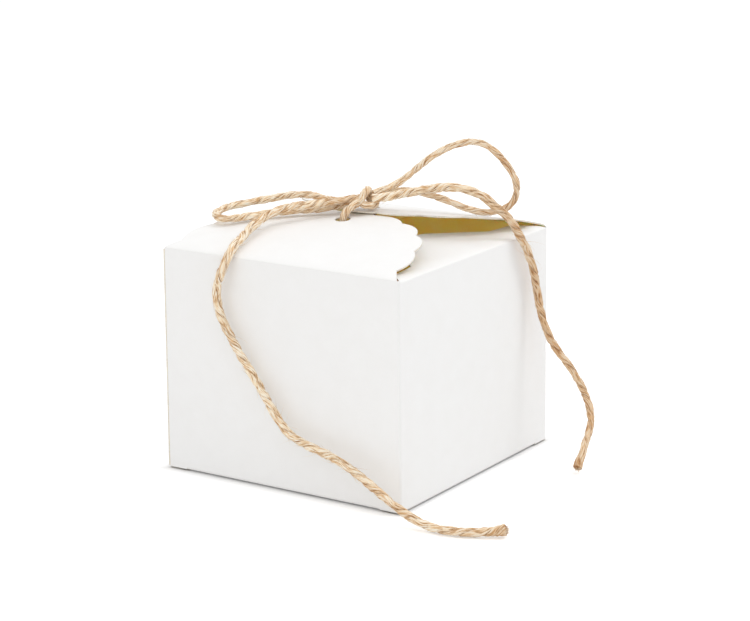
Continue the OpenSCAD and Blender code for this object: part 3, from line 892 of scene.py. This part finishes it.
def smooth_route(points, spacing):
    """A natural cubic spline through the points over their chord length, resampled at an even spacing."""
    p = np.asarray(points, float)
    chord = np.concatenate([[0], np.cumsum(np.linalg.norm(np.diff(p, axis=0), axis=1))])
    step = np.diff(chord)
    count = len(p)
    system, right = np.eye(count), np.zeros((count, 3))
    inner = np.arange(1, count - 1)
    system[inner, inner - 1] = step[:-1]
    system[inner, inner] = 2 * (step[:-1] + step[1:])
    system[inner, inner + 1] = step[1:]
    slope = np.diff(p, axis=0) / step[:, None]
    right[1:-1] = 6 * np.diff(slope, axis=0)
    bend = np.linalg.solve(system, right)
    fine = np.linspace(0, chord[-1], 40 * count)
    k = np.clip(np.searchsorted(chord, fine, side="right") - 1, 0, count - 2)
    a = ((chord[k + 1] - fine) / step[k])[:, None]
    b = 1 - a
    curve = (a ** 3 - a) * bend[k] + (b ** 3 - b) * bend[k + 1]
    line = a * p[k] + b * p[k + 1] + curve * step[k, None] ** 2 / 6
    return evenly(line, spacing)


def evenly(line, spacing):
    """The same line with its points an even spacing apart, and the length up to each of them."""
    length = np.concatenate([[0], np.cumsum(np.linalg.norm(np.diff(line, axis=0), axis=1))])
    even = np.linspace(0, length[-1], int(length[-1] / spacing) + 1)
    return np.column_stack([np.interp(even, length, line[:, i]) for i in range(3)]), even


def carried_frame(line):
    """Tangents and two normals along a line. The first normal starts as the direction least aligned with the
    line, made square to it, and is turned back by the sum of its own turning, so it carries no twist."""
    tangent = unit(np.gradient(line, axis=0))
    reference = np.linalg.svd(tangent, full_matrices=False)[2][-1]
    first = unit(reference - (tangent @ reference)[:, None] * tangent)
    second = np.cross(tangent, first)
    turning = -np.cumsum(np.sum(np.gradient(first, axis=0) * second, axis=1))[:, None]
    normal = np.cos(turning) * first + np.sin(turning) * second
    return tangent, normal, np.cross(tangent, normal)


def slow_waves(length, size, scale, rng):
    """A smooth random wave of mean 0 and about this size along a length: five sines of unrelated periods."""
    periods = scale * np.array([0.6, 0.9, 1.3, 2.1, 3.4])
    phases = rng.uniform(0, 2 * np.pi, 5)
    return size * (np.sin(2 * np.pi * length[:, None] / periods + phases).sum(1) / 2.2)


def from_stations(length, values):
    """Values given at even stations along a length, with a straight change from each to the next."""
    return np.interp(length, np.linspace(0, length[-1], len(values)), values)


def twisted_plies(name, line, length, seed, fullness, tan, open_end):
    """Two plies laid S-wise round the line. A ply's centre is lay_r from the line at the angle
    -2 pi s / pitch + pi k. Its section is an ellipse flattened against the other ply, with ridges of fibre
    that wind slowly the other way. A cut end opens out a little, and its face gets the painted groove shade.
    Fullness and tan are given at even stations from the start to the far end. The tan is partly painted
    shade and partly a random tone."""
    rng = np.random.default_rng(seed)
    _, normal, side = carried_frame(line)
    around = np.linspace(0, 2 * np.pi, PLY_SIDES, endpoint=False)
    lay_r, thick, broad = np.array(PLY_SHARES)[:, None] * TWINE_D * from_stations(length, fullness)
    to_end = length[-1] - length
    flare = np.exp(-(to_end / FLARE_RUN) ** 2) if open_end else np.zeros_like(length)
    rounded = 1 - RIM_ROUND * np.exp(-(to_end / RIM_RUN) ** 2) if open_end else np.ones_like(length)
    wobble = slow_waves(length, *LAY_WAVE, rng)
    # The tone is partly painted shade, set by the tan stations, and partly a random wave.
    tone_and_shade = np.clip(from_stations(length, tan) + slow_waves(length, *TONE_WAVE, rng), 0, 1)
    wind = 2 * np.pi * length[:, None] / RIDGE_PITCH
    fibre = around - wind
    lay_z = np.broadcast_to(seed + length[:, None] * MM, fibre.shape)
    points, faces, lays, crowns = [], [], [], []
    for ply in range(2):
        angle = -2 * np.pi * length / TWINE_PITCH + np.pi * ply + wobble
        out = np.cos(angle)[:, None] * normal + np.sin(angle)[:, None] * side
        over = np.cos(angle)[:, None] * side - np.sin(angle)[:, None] * normal
        centre = line + out * (lay_r * (1 - FLARE_CLOSE * flare))[:, None]
        swell = (1 + slow_waves(length, *SWELL_WAVE, rng) + FLARE_SWELL * flare) * rounded
        ridges = sum(size * np.cos(count * around - wind * count * share + rng.uniform(0, 6.28))
                     for count, size, share in RIDGES)
        scale = swell[:, None] * (1 + ridges)
        outwards = (thick[:, None] * np.cos(around) * scale)[..., None] * out[:, None]
        sideways = (broad[:, None] * np.sin(around) * scale)[..., None] * over[:, None]
        skin = centre[:, None] + (outwards + sideways)
        shift = ply * skin.shape[0] * PLY_SIDES
        faces.extend((grid_quads(*skin.shape[:2], True).reshape(-1, 4) + shift).tolist())
        last = shift + (skin.shape[0] - 1) * PLY_SIDES
        faces.append(np.arange(shift, shift + PLY_SIDES)[::-1].tolist())
        faces.append(np.arange(last, last + PLY_SIDES).tolist())
        lay = np.dstack([np.cos(fibre) + 3 * ply, np.sin(fibre), lay_z])
        # The crown share sets the painted groove shade. Dividing by rounded cubed lowers it at a cut end, so
        # the end face is painted dark too.
        full_height = (lay_r + thick) * swell / rounded ** 3
        crown = np.linalg.norm(skin - line[:, None], axis=2) / full_height[:, None]
        points.append(skin.reshape(-1, 3))
        lays.append(lay.reshape(-1, 3))
        crowns.append(crown.ravel())
    points = np.vstack(points)
    points[:, 2] = np.maximum(points[:, 2], LEAST_HEIGHT)
    tone_and_shade_values = np.tile(np.repeat(tone_and_shade, PLY_SIDES), 2)
    attributes = [("lay", np.vstack(lays)), ("crown", np.concatenate(crowns)), ("tone_and_shade", tone_and_shade_values)]
    return link_mesh(name, points, faces, [JUTE], None, attributes)


def stray_fibres(name, line, length, seed, fullness, brush):
    """Loose fibres: thin three-sided hairs that leave the twine at a low angle and curl. Each is
    base + L t (cos lift T + sin lift O) + curl t^2, and tapers to its tip. A brush of short ones stands at a
    cut end."""
    rng = np.random.default_rng(seed)
    tangent, normal, side = carried_frame(line)
    count = int(length[-1] * FIBRES_PER_MM)
    station = rng.integers(0, len(line), count)
    along = rng.choice((-1.0, 1.0), count)
    flyaway = rng.uniform(0, 1, count) < FLYAWAYS
    far_reach = rng.uniform(*FLYAWAY_REACH, count)
    reach = np.where(flyaway, far_reach, np.minimum(rng.gamma(*HAIR_REACH, count), HAIR_REACH_LIMIT))
    lift = np.where(flyaway, rng.uniform(*FLYAWAY_LIFT, count), rng.uniform(*HAIR_LIFT, count))
    if brush:
        station = np.concatenate([station, np.full(brush, len(line) - 1)])
        along = np.concatenate([along, np.ones(brush)])
        reach = np.concatenate([reach, rng.uniform(*BRUSH_REACH, brush)])
        lift = np.concatenate([lift, rng.uniform(*BRUSH_LIFT, brush)])
        count += brush
    turn = rng.uniform(0, 2 * np.pi, count)[:, None]
    out = np.cos(turn) * normal[station] + np.sin(turn) * side[station]
    over = np.cross(tangent[station], out)
    on_side = rng.uniform(*SIDE_DEPTH, count)
    on_end = rng.uniform(*END_DEPTH, count)
    depth = np.where(np.arange(count) < count - brush, on_side, on_end)
    girth = TWINE_D * from_stations(length, fullness)[station]
    base = line[station] + out * (depth * ROOT_SHARE * girth)[:, None]
    t = np.linspace(0, 1, HAIR_RINGS)[None, :, None]
    heading = tangent[station] * (along * np.cos(lift))[:, None] + out * np.sin(lift)[:, None]
    sway = rng.normal(0, HAIR_SWAY, (count, 1)) * over - rng.uniform(0, HAIR_SWAY, (count, 1)) * out
    hair = base[:, None] + reach[:, None, None] * (heading[:, None] * t + sway[:, None] * t ** 2)
    thick = rng.uniform(*HAIR_THICK, count)[:, None, None, None] * (1.05 - t)[..., None]
    corner = np.linspace(0, 2 * np.pi, HAIR_SIDES, endpoint=False)
    ring = np.cos(corner)[:, None] * out[:, None, None] + np.sin(corner)[:, None] * over[:, None, None]
    skin = hair[:, :, None] + thick * ring
    size = HAIR_RINGS * HAIR_SIDES
    first = size * np.arange(count)[:, None, None]
    strip = grid_quads(HAIR_RINGS, HAIR_SIDES, True).reshape(-1, 4)
    faces = (strip[None] + first).reshape(-1, 4)
    rim = np.arange(HAIR_SIDES)
    ends = np.stack([rim[::-1], size - HAIR_SIDES + rim])
    caps = (ends[None] + first).reshape(-1, HAIR_SIDES)
    points = skin.reshape(-1, 3)
    points[:, 2] = np.maximum(points[:, 2], LEAST_HEIGHT)
    shade = np.repeat(rng.uniform(0, 1, count), size)
    return link_mesh(name, points, faces.tolist() + caps.tolist(), [LOOSE_JUTE], None, [("shade", shade)])


def twine_strand(cad_node, points, seed, fullness, tan, bare=False):
    """A strand along its route: its plies and its stray fibres, in place of its plain solid."""
    line, length = smooth_route(points, ROUTE_SPACING)
    plies = twisted_plies(cad_node + "_plies", line, length, seed, fullness, tan, bare)
    brush = BRUSH_HAIRS if bare else 0
    fibres = stray_fibres(cad_node + "_fibres", line, length, seed + FIBRE_SEED, fullness, brush)
    for piece in (plies, fibres):
        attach(piece, "twine")
    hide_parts(cad_node)
    return line, length, plies, fibres


def twine_stretch(cad_node, points, seed, fullness, tan, far_end, knot=()):
    """A stretch of the twine, from its first point to its far end.
    The knot argument is not used."""
    line, length, plies, fibres = twine_strand(cad_node, points, seed, fullness, tan, far_end == "bare")


def knot_turns():
    """The knot: the strand from the front hole turns over the others, down behind them and back
    underneath."""
    azimuth = math.radians(VIEW_AZIMUTH)
    bow = np.array([math.cos(azimuth), math.sin(azimuth), 0])
    front = np.array([math.sin(azimuth), -math.cos(azimuth), 0])
    points = np.asarray(KNOT_AT) + np.asarray(KNOT_TURN) @ np.vstack([bow, front, (0, 0, 1)])
    plies, fibres = twine_strand("twine_knot", points, 51, (0.95, 0.95), (0.35, 0.35))[2:]
    return plies, fibres


def tied_twine():
    """The five stretches: each with its seed, and with its fullness and tan from the start to the far end.
    The tan is partly painted shade, deepest where the right tail hangs down the right wall and where the left
    loop and left tail leave the knot, and partly a random tone.
    """
    twine_stretch("twine_left_tail", LEFT_TAIL, 11, (1.04, 1.0), (0.6, 0.1, 0.0, 0.0, 0.2, 0.35),
                  "bare")
    twine_stretch("twine_right_tail", RIGHT_TAIL, 12, (1.12, 0.86), (0.0, 0.25, 0.85, 0.9, 0.9, 0.6),
                  "bare")
    twine_stretch("twine_left_loop", LEFT_LOOP, 13, (0.9, 0.9), (0.6, 0.05, 0.0, 0.05, 0.6),
                  "knot")
    twine_stretch("twine_right_loop", RIGHT_LOOP, 14, (0.82, 0.82), (0.0, 0.4, 0.55, 0.45, 0.1),
                  "knot")
    twine_stretch("twine_hole_strand", HOLE_STRAND, 15, (0.95, 0.95), (0.45, 0.45),
                  "knot", knot_turns())


bpy.context.scene.view_settings.view_transform = "Standard"
photo_camera()
white_room()
for lamp_values in LAMPS:
    softbox(*lamp_values)
white_floor()

CARD_FIBRE = card_fibre_group()
CARD = [card_white(CARD_FIBRE), card_kraft(CARD_FIBRE), card_edge(CARD_FIBRE)]
JUTE = jute(jute_group())
LOOSE_JUTE = loose_jute()

tied_twine()
carton_walls()
glue_tab()
closing_flap("front_flap_card", "front_flap", FRONT_TILT, 1)
closing_flap("rear_flap_card", "rear_flap", REAR_TILT, -1)
dust_flap("right_dust_flap_card", "right_dust_flap", 1)
dust_flap("left_dust_flap_card", "left_dust_flap", -1)
snap_lock_bottom()
